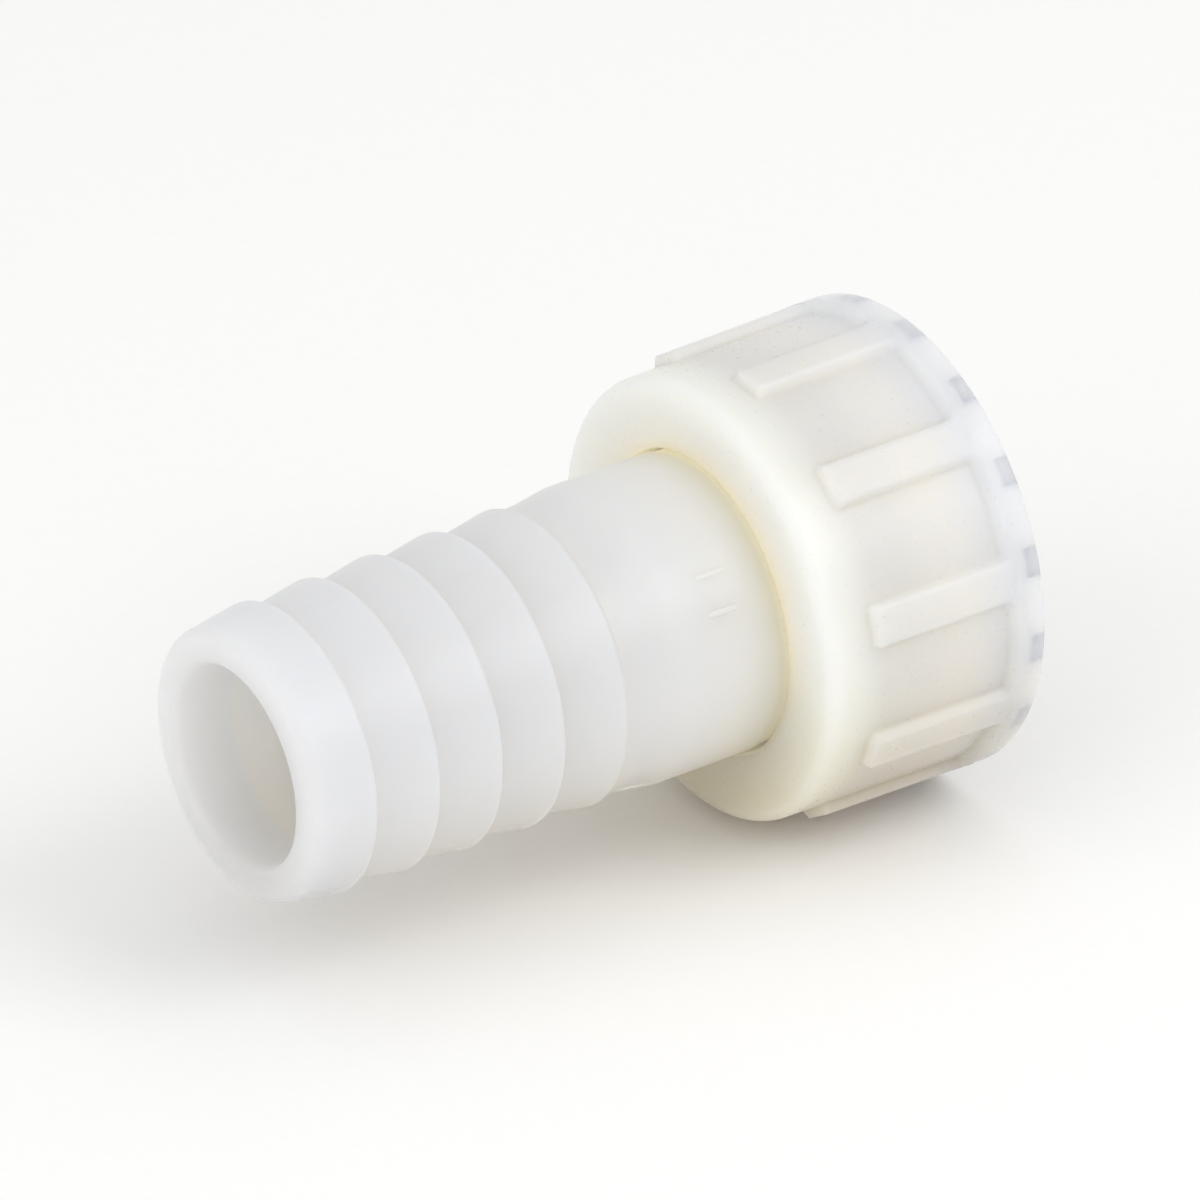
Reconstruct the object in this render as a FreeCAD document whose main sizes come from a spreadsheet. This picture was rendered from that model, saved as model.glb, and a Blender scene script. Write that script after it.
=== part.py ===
import FreeCAD, Part
import os
import Sketcher

# Plastic hose connector: a barbed hose tail, a loose union nut with a pipe thread,
# and the sealing ring that the nut carries behind its thread.
# Everything turns about +X. x = 0 is the inner end of the nut's thread, where the sealing ring
# stops a pipe end; the nut opens towards +X and the tail runs to -X. Millimetres.
# Each piece is drawn from its own -X end and moved into place afterwards.

SIZES = {
    # whole fitting
    "overall_length": 70.0,
    # hose tail, measured from its tip
    "waterway_radius": 9.1,
    "tip_radius": 12.2,
    "tip_round": 1.3,
    "tip_bore_round": 0.8,
    "barb_count": 5,
    "barb_first": 6.0,
    "barb_pitch": 6.4,
    "barb_first_radius": 13.1,
    "barb_growth": 0.09,
    "barb_depth": 0.95,
    "barb_step": 0.3,
    "barb_round": 0.22,
    "throat_radius": 12.95,
    "flare_start": 34.9,
    "flare_start_radius": 13.1,
    "flare_end": 38.0,
    "flare_round": 9.0,
    "neck_radius": 13.6,
    "journal_start": 48.0,
    "journal_radius": 13.4,
    "collar_back": 52.0,
    "collar_width": 3.0,
    "collar_radius": 14.9,
    "collar_chamfer": 0.3,
    # union nut, measured from its shoulder end
    "nut_length": 21.9,
    "nut_hole_radius": 13.85,
    "nut_hole_round": 0.25,
    "nut_back_radius": 20.15,
    "nut_back_round": 1.1,
    "nut_front_radius": 20.4,
    "rim_width": 3.0,
    "rim_radius": 21.4,
    "rim_round": 0.4,
    "rim_slope": 0.8,
    "shoulder_wall": 3.5,
    "relief_radius": 16.9,
    "thread_start": 10.4,
    "thread_minor_radius": 15.1455,
    "thread_major_radius": 16.6245,
    "thread_pitch": 2.309,
    "thread_flat": 0.385,
    "thread_overrun": 1.8,
    "mouth_radius": 17.3,
    "rib_count": 10,
    "rib_start": 4.35,
    "rib_width": 4.35,
    "rib_corner": 0.5,
    "rib_taper": 23.0,
    "rib_foot": 19.9,
    "rib_top": 21.05,
    "rib_flare": 0.9,
    "nut_turn": 2.6,
    "notch_count": 16,
    "notch_depth": 1.2,
    "notch_inner": 18.7,
    "notch_outer": 20.8,
    "notch_width": 7.0,
    "notch_turn": 1.9,
    # sealing ring
    "seal_bore_radius": 10.0,
    "seal_radius": 15.8,
    "seal_width": 2.2,
    "seal_round": 0.3,
    "seal_gap": 0.1,
}

doc = FreeCAD.newDocument("hose_connector")
sheet = doc.addObject("Spreadsheet::Sheet", "Sizes")
for row, (alias, number) in enumerate(SIZES.items(), start=1):
    sheet.set(f"A{row}", alias)
    sheet.set(f"B{row}", str(number))
    sheet.setAlias(f"B{row}", alias)
doc.recompute()


def size(alias):
    """The spreadsheet's value for one alias."""
    return float(sheet.get(alias))


def formula(text):
    """The text with each alias written as a reference to the spreadsheet."""
    words = text.split()
    return " ".join(f"Sizes.{word}" if word in SIZES else word for word in words)


def new_body(label, along, turn="0"):
    """A body with its own label, moved along X and turned about X by the sheet's values."""
    body = doc.addObject("PartDesign::Body", label)
    body.Label = label
    body.Placement.Rotation = FreeCAD.Rotation(FreeCAD.Vector(1, 0, 0), 0.001)
    body.setExpression("Placement.Base.x", formula(along))
    body.setExpression("Placement.Rotation.Angle", formula(turn))
    return body


def new_sketch(body, name, role="XY_Plane"):
    """A sketch on one of the body's own origin planes."""
    sketch = body.newObject("Sketcher::SketchObject", name)
    plane = next(f for f in body.Origin.OriginFeatures if f.Role == role)
    sketch.AttachmentSupport = [(plane, "")]
    sketch.MapMode = "FlatFace"
    return sketch


def draw_outline(sketch, corners):
    """A closed outline of straight sides, each corner (across, up) bound to the sheet."""
    places = [[float(sketch.evalExpression(formula(text))) for text in corner] for corner in corners]
    points = [FreeCAD.Vector(across, up, 0) for across, up in places]
    for start, end in zip(points, points[1:] + points[:1]):
        sketch.addGeometry(Part.LineSegment(start, end), False)
    count = len(points)
    for side in range(count):
        joined = Sketcher.Constraint("Coincident", side, 2, (side + 1) % count, 1)
        sketch.addConstraint(joined)
    for side, (corner, place) in enumerate(zip(corners, places)):
        for kind, text, value, axis in zip(("DistanceX", "DistanceY"), corner, place, (-2, -1)):
            if abs(value) < 1e-9:
                sketch.addConstraint(Sketcher.Constraint("PointOnObject", side, 1, axis))
                continue
            index = sketch.addConstraint(Sketcher.Constraint(kind, -1, 1, side, 1, value))
            sketch.setExpression(f"Constraints[{index}]", formula(text))


def revolve(body, sketch, name, cut=False, sweep="360"):
    """Turn a sketch about the body's X axis, to add or to cut away."""
    kind = "PartDesign::Groove" if cut else "PartDesign::Revolution"
    turned = body.newObject(kind, name)
    turned.Profile = sketch
    turned.ReferenceAxis = (sketch, ["H_Axis"])
    turned.setExpression("Angle", formula(sweep))
    turned.Midplane = sweep != "360"
    return turned


def ring_edges(feature, rings):
    """Names of the circular edges at these (place along X, radius) pairs."""
    names = []
    for index, edge in enumerate(feature.Shape.Edges, start=1):
        curve = edge.Curve
        if not isinstance(curve, Part.Circle) or abs(abs(curve.Axis.x) - 1) > 1e-6:
            continue
        for along, radius in rings:
            if abs(curve.Center.x - along) < 1e-3 and abs(curve.Radius - radius) < 1e-3:
                names.append(f"Edge{index}")
    return names


def soften(body, name, feature, rings, alias, kind="Fillet"):
    """Round or chamfer circular edges by a size from the sheet."""
    doc.recompute()
    names = ring_edges(feature, rings)
    if len(names) != len(rings):
        raise RuntimeError(f"{name}: {len(names)} edges found for {len(rings)} rings")
    softened = body.newObject(f"PartDesign::{kind}", name)
    softened.Base = (feature, names)
    softened.setExpression("Radius" if kind == "Fillet" else "Size", formula(alias))
    doc.recompute()
    return softened


def repeat(body, name, feature, alias):
    """Copies of a feature, evenly round the X axis."""
    pattern = body.newObject("PartDesign::PolarPattern", name)
    pattern.Originals = [feature]
    pattern.Axis = (next(f for f in body.Origin.OriginFeatures if f.Role == "X_Axis"), [""])
    pattern.Angle = 360
    pattern.setExpression("Occurrences", formula(alias))
    body.Tip = pattern
    doc.recompute()
    return pattern


def turn_plane(sketch, axis, angle, lift="0"):
    """Lift a sketch's plane off the body's XY plane and turn it there about one of its axes."""
    sketch.AttachmentOffset = FreeCAD.Placement(
        FreeCAD.Vector(), FreeCAD.Rotation(FreeCAD.Vector(*axis), 0.001)
    )
    sketch.setExpression("AttachmentOffset.Rotation.Angle", formula(angle))
    sketch.setExpression("AttachmentOffset.Base.z", formula(lift))


def must_change(name, before, after, grows):
    """Stop if a feature left the volume as it was, or moved it the wrong way."""
    change = after.Shape.Volume - before.Shape.Volume
    if (change if grows else -change) < 0.01:
        raise RuntimeError(f"{name} changed the volume by {change:.3f} mm3")


def barb_places():
    """(place along the tail, crest radius) of each barb, as formulas and as numbers."""
    texts, numbers = [], []
    for step in range(int(size("barb_count"))):
        texts.append(
            (f"barb_first + {step} * barb_pitch", f"barb_first_radius + {step} * barb_growth")
        )
        numbers.append(
            (
                size("barb_first") + step * size("barb_pitch"),
                size("barb_first_radius") + step * size("barb_growth"),
            )
        )
    return texts, numbers


def build_tail():
    """Hose tail: one moulding with five barbs, a plain neck and the collar that holds the nut."""
    body = new_body("hose_tail", "nut_length - thread_start - overall_length", "0 deg")
    texts, crests = barb_places()
    corners = [("0", "waterway_radius"), ("0", "tip_radius")]
    for along, radius in texts[:-1]:
        corners.append((along, radius))
        corners.append((f"{along} + barb_step", f"{radius} - barb_depth"))
    last_along, last_radius = texts[-1]
    corners += [
        (last_along, last_radius),
        (f"{last_along} + barb_step", "throat_radius"),
        ("flare_start", "flare_start_radius"),
        ("flare_end", "neck_radius"),
        ("journal_start", "neck_radius"),
        ("journal_start", "journal_radius"),
        ("collar_back", "journal_radius"),
        ("collar_back", "collar_radius"),
        ("collar_back + collar_width", "collar_radius"),
        ("collar_back + collar_width", "waterway_radius"),
    ]
    outline = new_sketch(body, "tail_outline")
    draw_outline(outline, corners)
    turned = revolve(body, outline, "tail_turned")

    collar_front = size("collar_back") + size("collar_width")
    done = soften(body, "tip_rounded", turned, [(0, size("tip_radius"))], "tip_round")
    done = soften(
        body,
        "waterway_rounded",
        done,
        [(0, size("waterway_radius")), (collar_front, size("waterway_radius"))],
        "tip_bore_round",
    )
    done = soften(body, "barbs_rounded", done, crests, "barb_round")
    flare = [
        (size("flare_start"), size("flare_start_radius")),
        (size("flare_end"), size("neck_radius")),
    ]
    done = soften(body, "flare_rounded", done, flare, "flare_round")
    collar = [(size("collar_back"), size("collar_radius")), (collar_front, size("collar_radius"))]
    soften(body, "collar_chamfered", done, collar, "collar_chamfer", "Chamfer")
    return body


def build_nut():
    """Union nut: grip ribs outside, a pipe thread inside, and a shoulder that pulls the collar."""
    body = new_body("union_nut", "-1 * thread_start", "nut_turn * 1 deg")
    rim_back = "nut_length - rim_width"
    lead_in = "nut_length - ( mouth_radius - thread_minor_radius )"
    outline = new_sketch(body, "nut_outline")
    draw_outline(
        outline,
        [
            ("0", "nut_hole_radius"),
            ("0", "nut_back_radius"),
            (f"{rim_back} - rim_slope / 2", "nut_front_radius"),
            (f"{rim_back} + rim_slope / 2", "rim_radius"),
            ("nut_length", "rim_radius"),
            ("nut_length", "mouth_radius"),
            (lead_in, "thread_minor_radius"),
            ("thread_start", "thread_minor_radius"),
            ("thread_start", "relief_radius"),
            ("shoulder_wall", "relief_radius"),
            ("shoulder_wall", "nut_hole_radius"),
        ],
    )
    turned = revolve(body, outline, "nut_turned")
    back, mouth = [(0, size("nut_back_radius"))], [(size("nut_length"), size("rim_radius"))]
    done = soften(body, "back_rounded", turned, back, "nut_back_round")
    done = soften(body, "hole_rounded", done, [(0, size("nut_hole_radius"))], "nut_hole_round")
    done = soften(body, "rim_rounded", done, mouth, "rim_round")

    # One grip rib: flat top, sloping sides and a sloping end. It rises with the nut's own taper
    # and widens in a hollow curve, drawn as three flats, where it runs into the rim.
    half, corner, flare = "rib_width / 2", "rib_corner", "rib_flare"
    side = [
        (f"rib_start + {corner}", half),
        (f"{rim_back} - {flare}", half),
        (f"{rim_back} - 0.5 * {flare}", f"{half} + 0.134 * {flare}"),
        (f"{rim_back} - 0.134 * {flare}", f"{half} + 0.5 * {flare}"),
        (rim_back, f"{half} + {flare}"),
        ("nut_length - rim_width / 2", f"{half} + {flare}"),
    ]
    other_side = [(along, f"-1 * ( {across} )") for along, across in side]
    start = [("rib_start", f"{half} - {corner}"), ("rib_start", f"{corner} - {half}")]
    rib = new_sketch(body, "rib_outline")
    rise = "( nut_front_radius - nut_back_radius ) / ( nut_length - rim_width )"
    turn_plane(rib, (0, -1, 0), f"atan( {rise} )", "rib_foot")
    draw_outline(rib, other_side + side[::-1] + start)
    raised = body.newObject("PartDesign::Pad", "rib")
    raised.Profile = rib
    raised.setExpression("Length", formula("rib_top - rib_foot"))
    raised.setExpression("TaperAngle", formula("-1 * rib_taper * 1 deg"))
    doc.recompute()
    must_change("rib", done, raised, grows=True)
    ribs = repeat(body, "ribs", raised, "rib_count")

    # Shallow pockets round the open end.
    notch = new_sketch(body, "notch_outline")
    turn_plane(notch, (1, 0, 0), "notch_turn * 1 deg")
    floor, out = "nut_length - notch_depth", "nut_length + 1"
    draw_outline(
        notch,
        [
            (floor, "notch_inner"),
            (out, "notch_inner"),
            (out, "notch_outer"),
            (floor, "notch_outer"),
        ],
    )
    pocket = revolve(body, notch, "notch", cut=True, sweep="notch_width * 1 deg")
    doc.recompute()
    must_change("notch", ribs, pocket, grows=False)
    notches = repeat(body, "notches", pocket, "notch_count")

    # Pipe thread: a V groove with a narrow flat root, cut along a helix.
    middle = "thread_start - thread_overrun"
    root = "thread_flat / 2"
    mouth_half = "( thread_pitch - thread_flat ) / 2"
    sink = "0.3"
    slope = "( ( thread_pitch / 2 - thread_flat ) / ( thread_major_radius - thread_minor_radius ) )"
    wide = f"{mouth_half} + {sink} * {slope}"
    groove = new_sketch(body, "thread_outline")
    draw_outline(
        groove,
        [
            (f"{middle} - ( {wide} )", f"thread_minor_radius - {sink}"),
            (f"{middle} - {root}", "thread_major_radius"),
            (f"{middle} + {root}", "thread_major_radius"),
            (f"{middle} + {wide}", f"thread_minor_radius - {sink}"),
        ],
    )
    thread = body.newObject("PartDesign::SubtractiveHelix", "thread")
    thread.Profile = groove
    thread.ReferenceAxis = (groove, ["H_Axis"])
    thread.Mode = 0
    thread.setExpression("Pitch", formula("thread_pitch"))
    thread.setExpression("Height", formula("nut_length - thread_start + 2 * thread_overrun"))
    doc.recompute()
    must_change("thread", notches, thread, grows=False)
    return body


def build_seal():
    """Flat sealing ring that the nut carries against the inner end of its thread."""
    body = new_body("sealing_ring", "-1 * seal_width - seal_gap", "0 deg")
    outline = new_sketch(body, "seal_outline")
    draw_outline(
        outline,
        [
            ("0", "seal_bore_radius"),
            ("0", "seal_radius"),
            ("seal_width", "seal_radius"),
            ("seal_width", "seal_bore_radius"),
        ],
    )
    turned = revolve(body, outline, "seal_turned")
    edges = [
        (along, size(alias))
        for along in (0, size("seal_width"))
        for alias in ("seal_bore_radius", "seal_radius")
    ]
    soften(body, "seal_rounded", turned, edges, "seal_round")
    return body


bodies = [build_tail(), build_nut(), build_seal()]
doc.recompute()

for item in doc.Objects:
    if {"Invalid", "Error"} & set(item.State):
        raise RuntimeError(f"{item.Label} failed: {item.State}")
for body in bodies:
    if body.Shape.isNull() or not body.Shape.isValid() or len(body.Shape.Solids) != 1:
        raise RuntimeError(f"{body.Label} isn't one valid solid")

os.makedirs("parts", exist_ok=True)
for body in bodies:
    body.Shape.exportStep(os.path.join("parts", f"{body.Label}.step"))
    box = body.Shape.BoundBox
    print(
        f"{body.Label}: {body.Shape.Volume:.1f} mm3, x {box.XMin:.2f} to {box.XMax:.2f},",
        f"radius {max(box.YMax, box.ZMax):.2f}",
    )
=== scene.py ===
import math

import bpy
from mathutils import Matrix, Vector


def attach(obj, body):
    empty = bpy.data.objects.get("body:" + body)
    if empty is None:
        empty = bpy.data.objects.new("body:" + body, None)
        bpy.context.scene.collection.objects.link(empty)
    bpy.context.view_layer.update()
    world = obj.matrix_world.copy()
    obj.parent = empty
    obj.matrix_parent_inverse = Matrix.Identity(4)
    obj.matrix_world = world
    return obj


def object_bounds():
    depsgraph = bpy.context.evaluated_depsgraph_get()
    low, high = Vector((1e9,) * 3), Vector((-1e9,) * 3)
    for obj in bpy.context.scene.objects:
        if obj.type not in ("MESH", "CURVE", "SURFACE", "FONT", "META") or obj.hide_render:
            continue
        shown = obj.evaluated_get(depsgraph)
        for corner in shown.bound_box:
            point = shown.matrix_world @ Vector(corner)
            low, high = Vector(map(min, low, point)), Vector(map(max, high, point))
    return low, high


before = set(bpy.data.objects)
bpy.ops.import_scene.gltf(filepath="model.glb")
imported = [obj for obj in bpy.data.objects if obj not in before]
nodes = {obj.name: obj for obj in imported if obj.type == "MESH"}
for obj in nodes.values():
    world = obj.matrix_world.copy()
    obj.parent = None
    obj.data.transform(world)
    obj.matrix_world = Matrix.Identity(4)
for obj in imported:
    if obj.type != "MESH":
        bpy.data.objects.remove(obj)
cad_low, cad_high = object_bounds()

MM = 0.001

# The photograph's view, as the camera's bearing from the fitting, in degrees and metres.
AZIMUTH, ELEVATION, DISTANCE = -34.94, 30.81, 1.3754
AIM = Vector((-0.02031, 0.00018, 0.00347))
LENS_MM, SENSOR_MM = 480.0, 36.0

# Places along X: the first barb's crest and the barbs' spacing, the dip behind the last barb,
# and the neck's end at the seam with the nut.
CREST_MM, BARB_PITCH_MM, THROAT_MM, NECK_END_MM = -52.5, 6.4, -25.0, -10.5
NUT_HOLE_RADIUS_MM = 13.85

SOFTBOX_DISTANCE = 0.9
SKY_WHITE = (0.975, 0.985, 1.0)
SOFTBOX_WHITE = (0.98, 0.99, 1.0)
# The colour of the painted glow in the seam.
PAINTED_SEAM_GLOW = (0.93, 0.91, 0.76)

scene = bpy.context.scene


# ---------------------------------------------------------------- node helpers

def new_material(name):
    """A material with an empty tree but for its output and a Principled shader."""
    material = bpy.data.materials.new(name)
    material.use_nodes = True
    tree = material.node_tree
    tree.nodes.clear()
    output = tree.nodes.new("ShaderNodeOutputMaterial")
    shader = tree.nodes.new("ShaderNodeBsdfPrincipled")
    tree.links.new(shader.outputs["BSDF"], output.inputs["Surface"])
    return material, tree, shader


def add(tree, kind, **settings):
    """A node with its properties set."""
    node = tree.nodes.new(kind)
    for key, value in settings.items():
        setattr(node, key, value)
    return node


def noise(tree, scale, detail, stretch=(1.0, 1.0, 1.0)):
    """A noise texture over the object's own coordinates, its scale in features per millimetre."""
    where = add(tree, "ShaderNodeTexCoord")
    mapping = add(tree, "ShaderNodeMapping")
    mapping.inputs["Scale"].default_value = [s / MM for s in stretch]
    tree.links.new(where.outputs["Object"], mapping.inputs["Vector"])
    node = add(tree, "ShaderNodeTexNoise")
    node.inputs["Scale"].default_value = scale
    node.inputs["Detail"].default_value = detail
    tree.links.new(mapping.outputs["Vector"], node.inputs["Vector"])
    return node.outputs["Fac"]


def remap(tree, source, low, high, from_low=0.3, from_high=0.7):
    """Map a range, by default a noise texture's middle, onto another range."""
    node = add(tree, "ShaderNodeMapRange")
    node.inputs["From Min"].default_value = from_low
    node.inputs["From Max"].default_value = from_high
    node.inputs["To Min"].default_value = low
    node.inputs["To Max"].default_value = high
    tree.links.new(source, node.inputs["Value"])
    return node.outputs["Result"]


def ramp(tree, length, start_mm, end_mm):
    """A smooth 0 to 1 as a length goes from start to end."""
    node = add(tree, "ShaderNodeMapRange", interpolation_type="SMOOTHSTEP")
    node.inputs["From Min"].default_value = start_mm * MM
    node.inputs["From Max"].default_value = end_mm * MM
    tree.links.new(length, node.inputs["Value"])
    return node.outputs["Result"]


def coordinate(tree, axis):
    """The place along one of the object's axes, in metres."""
    where = add(tree, "ShaderNodeTexCoord")
    parts = add(tree, "ShaderNodeSeparateXYZ")
    tree.links.new(where.outputs["Object"], parts.inputs["Vector"])
    return parts.outputs[axis]


def height(tree):
    """The height above the scene's origin, whichever way a piece is turned."""
    where = add(tree, "ShaderNodeNewGeometry")
    parts = add(tree, "ShaderNodeSeparateXYZ")
    tree.links.new(where.outputs["Position"], parts.inputs["Vector"])
    return parts.outputs["Z"]


def between(tree, axis, start_mm, end_mm):
    """A smooth 0 to 1 between two places along one of the object's axes."""
    return ramp(tree, coordinate(tree, axis), start_mm, end_mm)


def off_axis(tree, start_mm, end_mm):
    """A smooth 0 to 1 between two distances from the fitting's axis."""
    where = add(tree, "ShaderNodeTexCoord")
    across = add(tree, "ShaderNodeVectorMath", operation="MULTIPLY")
    across.inputs[1].default_value = (0.0, 1.0, 1.0)
    tree.links.new(where.outputs["Object"], across.inputs[0])
    distance = add(tree, "ShaderNodeVectorMath", operation="LENGTH")
    tree.links.new(across.outputs["Vector"], distance.inputs[0])
    return ramp(tree, distance.outputs["Value"], start_mm, end_mm)


def product(tree, first, second):
    """Two values multiplied."""
    node = add(tree, "ShaderNodeMath", operation="MULTIPLY")
    tree.links.new(first, node.inputs[0])
    tree.links.new(second, node.inputs[1])
    return node.outputs["Value"]


def blend_colours(tree, factor, first, second):
    """A colour that runs from first to second as factor runs from 0 to 1."""
    node = add(tree, "ShaderNodeMix", data_type="RGBA")
    node.inputs["A"].default_value = (*first, 1.0)
    node.inputs["B"].default_value = (*second, 1.0)
    tree.links.new(factor, node.inputs["Factor"])
    return node.outputs["Result"]


def tinted(tree, colour, factor, tint):
    """The colour multiplied by a tint where the factor is 1."""
    node = add(tree, "ShaderNodeMix", data_type="RGBA", blend_type="MULTIPLY")
    node.inputs["B"].default_value = (*tint, 1.0)
    tree.links.new(factor, node.inputs["Factor"])
    tree.links.new(colour, node.inputs["A"])
    return node.outputs["Result"]


def along_axis(tree, zones):
    """A colour that runs smoothly through (place along X, colour) pairs."""
    colour = None
    for (start_mm, first), (end_mm, second) in zip(zones, zones[1:]):
        node = add(tree, "ShaderNodeMix", data_type="RGBA")
        tree.links.new(between(tree, "X", start_mm, end_mm), node.inputs["Factor"])
        node.inputs["A"].default_value = (*first, 1.0)
        if colour is not None:
            tree.links.new(colour, node.inputs["A"])
        node.inputs["B"].default_value = (*second, 1.0)
        colour = node.outputs["Result"]
    return colour


def soft_edges(tree, radius_mm):
    """Normals that round every sharp edge by a small radius."""
    node = add(tree, "ShaderNodeBevel", samples=4)
    node.inputs["Radius"].default_value = radius_mm * MM
    return node.outputs["Normal"]


def bump(tree, height, distance_mm, below=None):
    """A bump of a real height, on top of another normal if one is given."""
    node = add(tree, "ShaderNodeBump")
    node.inputs["Distance"].default_value = distance_mm * MM
    tree.links.new(height, node.inputs["Height"])
    if below is not None:
        tree.links.new(below, node.inputs["Normal"])
    return node.outputs["Normal"]


# ---------------------------------------------------------------- the mouldings' colours

def clouded(tree, colour):
    """The colour with faint cloudy streaks, as the melt leaves them."""
    clouds = noise(tree, 0.11, detail=4.0, stretch=(0.6, 1.0, 1.0))
    return tinted(tree, colour, remap(tree, clouds, 0.0, 1.0), (0.975, 0.965, 0.955))


def barb_painted_light(tree, colour):
    """Painted light on the barbs: the dip behind each crest painted warmer and lighter against its
    shade, and the crest painted cooler, as light through the thin wall shows.
    """
    pitches = add(tree, "ShaderNodeMapRange", clamp=False)
    pitches.inputs["From Min"].default_value = CREST_MM * MM
    pitches.inputs["From Max"].default_value = (CREST_MM + BARB_PITCH_MM) * MM
    tree.links.new(coordinate(tree, "X"), pitches.inputs["Value"])
    past_crest = add(tree, "ShaderNodeMath", operation="FRACT")
    tree.links.new(pitches.outputs["Result"], past_crest.inputs[0])
    on_barbs = between(tree, "X", THROAT_MM + 0.6, THROAT_MM)
    dip_painted_light = remap(tree, past_crest.outputs["Value"], 1.0, 0.0, from_low=0.0, from_high=0.35)
    crest_painted_light = remap(tree, past_crest.outputs["Value"], 0.0, 1.0, from_low=0.72, from_high=1.0)
    # Painted light: the dip painted warmer and lighter, the crest painted cooler.
    colour = tinted(tree, colour, product(tree, dip_painted_light, on_barbs), (1.04, 1.015, 0.97))
    return tinted(tree, colour, product(tree, crest_painted_light, on_barbs), (1.0, 1.005, 1.02))


def tail_colour(tree):
    """Cool white at the tip, warmer towards the nut: partly the nylon's own tone, partly painted
    light and shade.

    The tip is painted darker and the neck by the nut lighter and yellower; painted shade darkens and
    warms the underside, cooler under the tip.
    """
    # Along X: the nylon's own cool-to-warm tone, with painted shade darkening the tip and painted
    # light lightening and yellowing the neck by the nut.
    zones = (
        (-58.0, (0.735, 0.738, 0.755)),
        (-42.0, (0.812, 0.802, 0.784)),
        (-20.0, (0.825, 0.812, 0.785)),
        (-13.0, (0.92, 0.885, 0.79)),
        (-10.6, (0.96, 0.92, 0.745)),
    )
    colour = clouded(tree, barb_painted_light(tree, along_axis(tree, zones)))
    # Painted shade: darker and warmer underneath.
    painted_underside_shade = between(tree, "Z", 2.0, -14.0)
    colour = tinted(tree, colour, painted_underside_shade, (0.72, 0.685, 0.635))
    # The painted shade is cooler under the tip.
    painted_shade_cooling_at_tip = product(tree, painted_underside_shade, between(tree, "X", -50.0, -57.0))
    return tinted(tree, colour, painted_shade_cooling_at_tip, (0.87, 0.925, 1.015))


def nut_colour(tree):
    """A greyer ivory over the ribs and a cool white rim, the nylon's own tones, and a paler ivory at
    the shoulder, painted light against the shade beside the neck.

    Painted shade deepens the tone underneath, by height above the scene's origin, so it stays
    underneath as the nut turns.
    """
    # The shoulder's paler zones are painted light; the rest is the nylon's own tone.
    zones = (
        (-10.4, (0.94, 0.922, 0.81)),
        (-8.0, (0.92, 0.893, 0.78)),
        (-4.0, (0.81, 0.768, 0.70)),
        (3.0, (0.805, 0.768, 0.715)),
        (9.0, (0.71, 0.72, 0.742)),
    )
    colour = clouded(tree, along_axis(tree, zones))
    # Painted shade: darker and warmer underneath, by height.
    return tinted(tree, colour, ramp(tree, height(tree), 7.0, -20.0), (0.70, 0.66, 0.595))


def mark_colour(tree):
    """The tail's tone as its lit surface shows it, for low marks that don't glow themselves."""
    zones = ((-58.0, (0.72, 0.72, 0.72)), (-11.0, (0.74, 0.73, 0.70)))
    return clouded(tree, along_axis(tree, zones))


# ---------------------------------------------------------------- materials

def nylon(name, colour_of, grain_per_mm, grain_mm, rough, glow_mm=None, edge_mm=None):
    """Natural nylon: milky, with a fine surface grain.

    With a glow it is lit from inside, as deep as the glow's red, green and blue millimetres.
    With an edge size, sharp edges look rounded by it.
    """
    material, tree, shader = new_material(name)
    tree.links.new(colour_of(tree), shader.inputs["Base Color"])
    ripples = noise(tree, 0.35, detail=2.0, stretch=(0.5, 1.0, 1.0))
    speckle = noise(tree, grain_per_mm, detail=2.0)
    gloss = remap(tree, speckle, rough - 0.05, rough + 0.05)
    tree.links.new(gloss, shader.inputs["Roughness"])
    edges = soft_edges(tree, edge_mm) if edge_mm else None
    rippled = bump(tree, ripples, 0.03, below=edges)
    tree.links.new(bump(tree, speckle, grain_mm, below=rippled), shader.inputs["Normal"])
    shader.inputs["IOR"].default_value = 1.53
    if glow_mm:
        shader.inputs["Subsurface Weight"].default_value = 1.0
        shader.inputs["Subsurface Radius"].default_value = glow_mm
        shader.inputs["Subsurface Scale"].default_value = MM
    return material, tree, shader


def paint_seam_glow(tree, shader, near_seam, brightness):
    """Painted light: a warm emission on the seam between neck and nut, in place of light through both
    mouldings.
    """
    shader.inputs["Emission Color"].default_value = (*PAINTED_SEAM_GLOW, 1.0)
    strength = remap(tree, near_seam, 0.0, brightness, from_low=0.0, from_high=1.0)
    tree.links.new(strength, shader.inputs["Emission Strength"])


def tail_nylon():
    """The tail's nylon, with a painted glow in the seam from the neck's end inwards."""
    material, tree, shader = nylon(
        "tail_nylon_look", tail_colour, grain_per_mm=5.0, grain_mm=0.006, rough=0.38,
        glow_mm=(22.0, 21.0, 18.5), edge_mm=0.4,
    )
    # Painted light: the seam glows warm.
    in_seam = between(tree, "X", NECK_END_MM - 0.5, NECK_END_MM + 0.2)
    paint_seam_glow(tree, shader, in_seam, brightness=0.09)
    return material


def nut_nylon():
    """The nut's nylon, with a painted glow in the seam on the wall of its hole."""
    material, tree, shader = nylon(
        "nut_nylon_look", nut_colour, grain_per_mm=2.4, grain_mm=0.01, rough=0.32,
        glow_mm=(12.0, 11.0, 8.5), edge_mm=0.9,
    )
    # Painted light: the seam glows warm.
    on_wall = off_axis(tree, NUT_HOLE_RADIUS_MM + 0.25, NUT_HOLE_RADIUS_MM + 0.03)
    paint_seam_glow(tree, shader, on_wall, brightness=0.08)
    return material


def mark_nylon():
    """The nylon of the raised marks, without the inner light that would outline them."""
    material, _, _ = nylon(
        "mark_nylon_look", mark_colour, grain_per_mm=5.0, grain_mm=0.006, rough=0.38
    )
    return material


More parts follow.
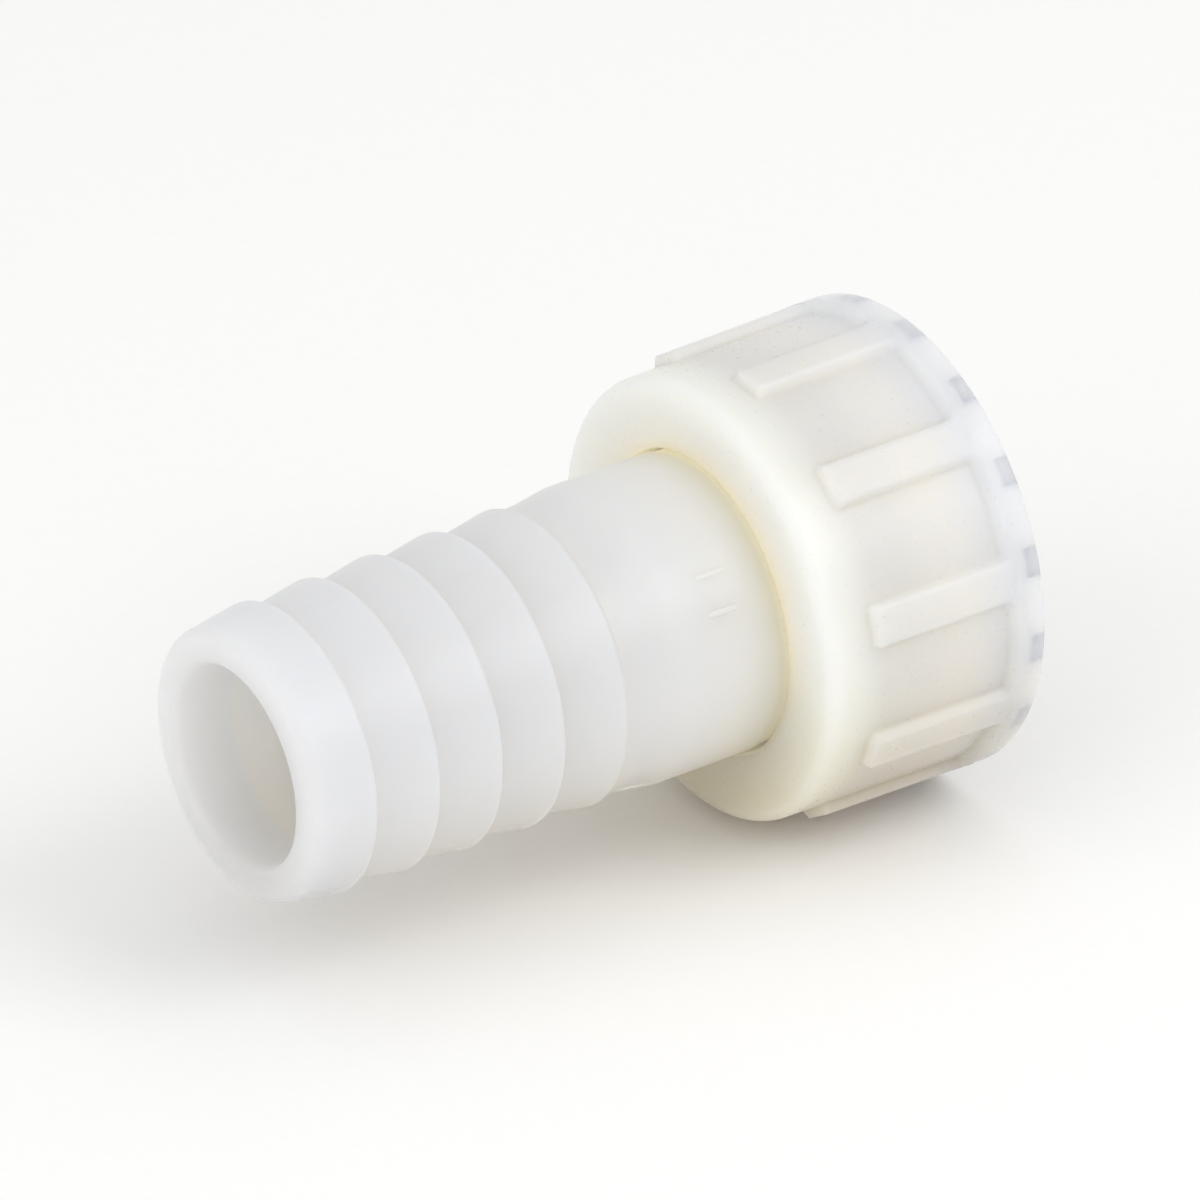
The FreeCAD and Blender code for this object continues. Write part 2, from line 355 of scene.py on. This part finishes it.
def rubber():
    """Pale moulded rubber with a dusty bloom."""
    material, tree, shader = new_material("seal_rubber_look")
    bloom = noise(tree, 0.8, detail=4.0)
    dusty = remap(tree, bloom, 0.0, 1.0)
    colour = blend_colours(tree, dusty, (0.70, 0.68, 0.62), (0.78, 0.77, 0.72))
    tree.links.new(colour, shader.inputs["Base Color"])
    tree.links.new(remap(tree, bloom, 0.55, 0.75), shader.inputs["Roughness"])
    fine = noise(tree, 9.0, detail=2.0)
    tree.links.new(bump(tree, fine, 0.01), shader.inputs["Normal"])
    return material


def floor_paper():
    """White studio paper with a faint tooth."""
    material, tree, shader = new_material("studio_paper")
    tooth = remap(tree, noise(tree, 0.8, detail=4.0), 0.0, 1.0)
    colour = blend_colours(tree, tooth, (0.975, 0.965, 0.945), (0.985, 0.975, 0.955))
    tree.links.new(colour, shader.inputs["Base Color"])
    shader.inputs["Roughness"].default_value = 0.9
    shader.inputs["Specular IOR Level"].default_value = 0.1
    return material


def coat(obj, material):
    """Give an object one material."""
    obj.data.materials.clear()
    obj.data.materials.append(material)


# ---------------------------------------------------------------- moulding marks

def surface_radius(x_mm, turn_deg):
    """Distance in millimetres from the axis to the tail's outside, at a place along and around."""
    turn = math.radians(turn_deg)
    out = Vector((0.0, math.cos(turn), math.sin(turn)))
    begin = out * 0.03 + Vector((x_mm * MM, 0.0, 0.0))
    hit, point, _, _ = nodes["hose_tail"].ray_cast(begin, -out)
    if not hit:
        raise RuntimeError(f"nothing of the tail at {x_mm} mm")
    return Vector((0.0, point.y, point.z)).length / MM


def on_tail(x_mm, turn_deg, lift_mm):
    """Point above the tail's outside, in metres."""
    radius = (surface_radius(x_mm, turn_deg) + lift_mm) * MM
    turn = math.radians(turn_deg)
    return (x_mm * MM, radius * math.cos(turn), radius * math.sin(turn))


def mark_piece(name, rings, tip, material):
    """Closed mesh from equal rings of points, a cap point over the first and a flat last ring."""
    count = len(rings[0])
    points = [tip] + [point for ring in rings for point in ring]
    faces = [(0, 1 + i, 1 + (i + 1) % count) for i in range(count)]
    for level in range(len(rings) - 1):
        base = 1 + level * count
        for i in range(count):
            j = (i + 1) % count
            faces.append((base + i, base + count + i, base + count + j, base + j))
    last = 1 + (len(rings) - 1) * count
    faces.append(tuple(last + i for i in reversed(range(count))))
    mesh = bpy.data.meshes.new(name)
    mesh.from_pydata(points, [], faces)
    mesh.shade_smooth()
    piece = bpy.data.objects.new(name, mesh)
    scene.collection.objects.link(piece)
    coat(piece, material)
    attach(piece, "tail")


def raised_mark(name, material, x_mm, turn_deg, long_mm, wide_mm, height_mm):
    """Low rounded mark on the tail, long along the axis, its foot sunk into the surface."""
    count = 32
    # Each ring's share of the outline and of the height, from the crown out and down.
    levels = (
        (0.4, 1.0), (0.6, 0.92), (0.75, 0.7), (0.88, 0.4), (1.0, 0.1), (1.12, -0.2), (1.24, -0.5),
    )
    degrees_per_mm = math.degrees(1.0 / surface_radius(x_mm, turn_deg))
    rings = []
    for spread, rise in levels:
        ring = []
        for i in range(count):
            angle = 2 * math.pi * i / count
            c, s = math.cos(angle), math.sin(angle)
            square = (abs(c) ** 4 + abs(s) ** 4) ** -0.25 * spread
            forward, across = c * square * long_mm / 2, s * square * wide_mm / 2
            turned = turn_deg + across * degrees_per_mm
            ring.append(on_tail(x_mm + forward, turned, height_mm * rise))
        rings.append(ring)
    mark_piece(name, rings, on_tail(x_mm, turn_deg, height_mm), material)


def build_marks():
    """Two strokes in place of the neck's moulded number, and a trace of flash by the last barb."""
    material = mark_nylon()
    stroke = {"x_mm": -15.8, "long_mm": 3.0, "wide_mm": 0.5, "height_mm": 0.05}
    raised_mark("neck_stroke_1", material, turn_deg=136.0, **stroke)
    raised_mark("neck_stroke_2", material, turn_deg=150.5, **stroke)
    raised_mark(
        "flash_throat", material, x_mm=-23.4, turn_deg=228.0, long_mm=2.8, wide_mm=0.7, height_mm=0.12
    )


# ---------------------------------------------------------------- staging

def build_floor():
    """Pale floor just under the nut's rim, wide enough for every view."""
    half, level = 3.0, cad_low.z - 0.0001
    corners = [(-half, -half, level), (half, -half, level), (half, half, level), (-half, half, level)]
    mesh = bpy.data.meshes.new("studio_floor")
    mesh.from_pydata(corners, [], [(0, 1, 2, 3)])
    floor = bpy.data.objects.new("studio_floor", mesh)
    scene.collection.objects.link(floor)
    coat(floor, floor_paper())


def bearing(azimuth, elevation):
    """Unit vector from the fitting towards a camera or light."""
    a, e = math.radians(azimuth), math.radians(elevation)
    return Vector((math.sin(a) * math.cos(e), -math.cos(a) * math.cos(e), math.sin(e)))


def look_from(obj, azimuth, elevation, distance):
    """Put a camera or light in the scene, looking at the fitting from a bearing."""
    back = bearing(azimuth, elevation)
    obj.location = AIM + back * distance
    obj.rotation_mode = "QUATERNION"
    obj.rotation_quaternion = (-back).to_track_quat("-Z", "Y")
    scene.collection.objects.link(obj)


def softbox(name, azimuth, elevation, size, power):
    """A square light that looks at the fitting from a bearing."""
    data = bpy.data.lights.new(name, "AREA")
    data.shape = "SQUARE"
    data.size, data.energy, data.color = size, power, SOFTBOX_WHITE
    look_from(bpy.data.objects.new(name, data), azimuth, elevation, SOFTBOX_DISTANCE)


def build_lights():
    """Bright even surroundings, with softboxes overhead and on both sides of the camera."""
    world = bpy.data.worlds.new("studio")
    scene.world = world
    world.use_nodes = True
    background = world.node_tree.nodes["Background"]
    background.inputs["Color"].default_value = (*SKY_WHITE, 1.0)
    background.inputs["Strength"].default_value = 0.73
    softbox("softbox_top", azimuth=0.0, elevation=80.0, size=1.0, power=0.75)
    softbox("softbox_right", azimuth=30.0, elevation=44.0, size=0.5, power=2.1)
    softbox("softbox_left", azimuth=-80.0, elevation=30.0, size=0.8, power=1.7)


def build_camera():
    """The photograph's viewpoint, through a long lens."""
    data = bpy.data.cameras.new("photo_camera")
    data.lens, data.sensor_width = LENS_MM, SENSOR_MM
    data.clip_start, data.clip_end = 0.1, 20.0
    camera = bpy.data.objects.new("photo_camera", data)
    look_from(camera, AZIMUTH, ELEVATION, DISTANCE)
    scene.camera = camera


# ---------------------------------------------------------------- build

scene.view_settings.view_transform = "Standard"
# Enough bounces for light to find its way through both mouldings.
scene.cycles.max_bounces = 32
scene.cycles.diffuse_bounces = 24

coat(nodes["hose_tail"], tail_nylon())
coat(nodes["union_nut"], nut_nylon())
coat(nodes["sealing_ring"], rubber())
build_marks()
build_floor()
build_lights()
build_camera()
